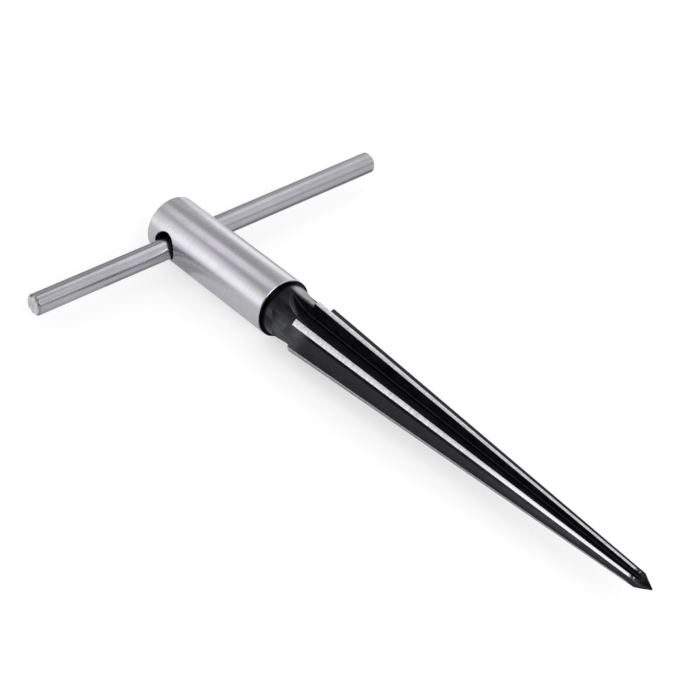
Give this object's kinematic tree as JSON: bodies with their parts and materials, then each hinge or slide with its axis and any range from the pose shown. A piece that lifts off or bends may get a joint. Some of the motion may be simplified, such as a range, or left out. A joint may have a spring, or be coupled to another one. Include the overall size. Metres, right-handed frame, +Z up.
{
  "type": "bridge pin hole reamer",
  "caption": "T-handled tapered hand reamer with straight flutes: a black blade in a plain steel sleeve, turned by a sliding cross bar.",
  "frame": {"origin": "centre of the sleeve's rear face", "axes": "+X along the tool's axis, towards the point of the blade; +Y along the cross bar; +Z up"},
  "size_m": [0.1425, 0.091, 0.013],
  "materials": {
    "satin_steel": "turned and satin polished",
    "bar_steel": "drawn bright, lightly polished",
    "black_oxide_steel": "black oxide, with bright ground lands"
  },
  "bodies": {
    "tool": {"sleeve": "satin_steel", "reamer_blade": "black_oxide_steel"},
    "bar": {"t_bar": "bar_steel"}
  },
  "joints": [
    {"name": "bar_slide", "type": "slide", "parent": "tool", "child": "bar", "axis": [0, 1, 0], "range_m": [-0.0446, 0.0334]}
  ]
}
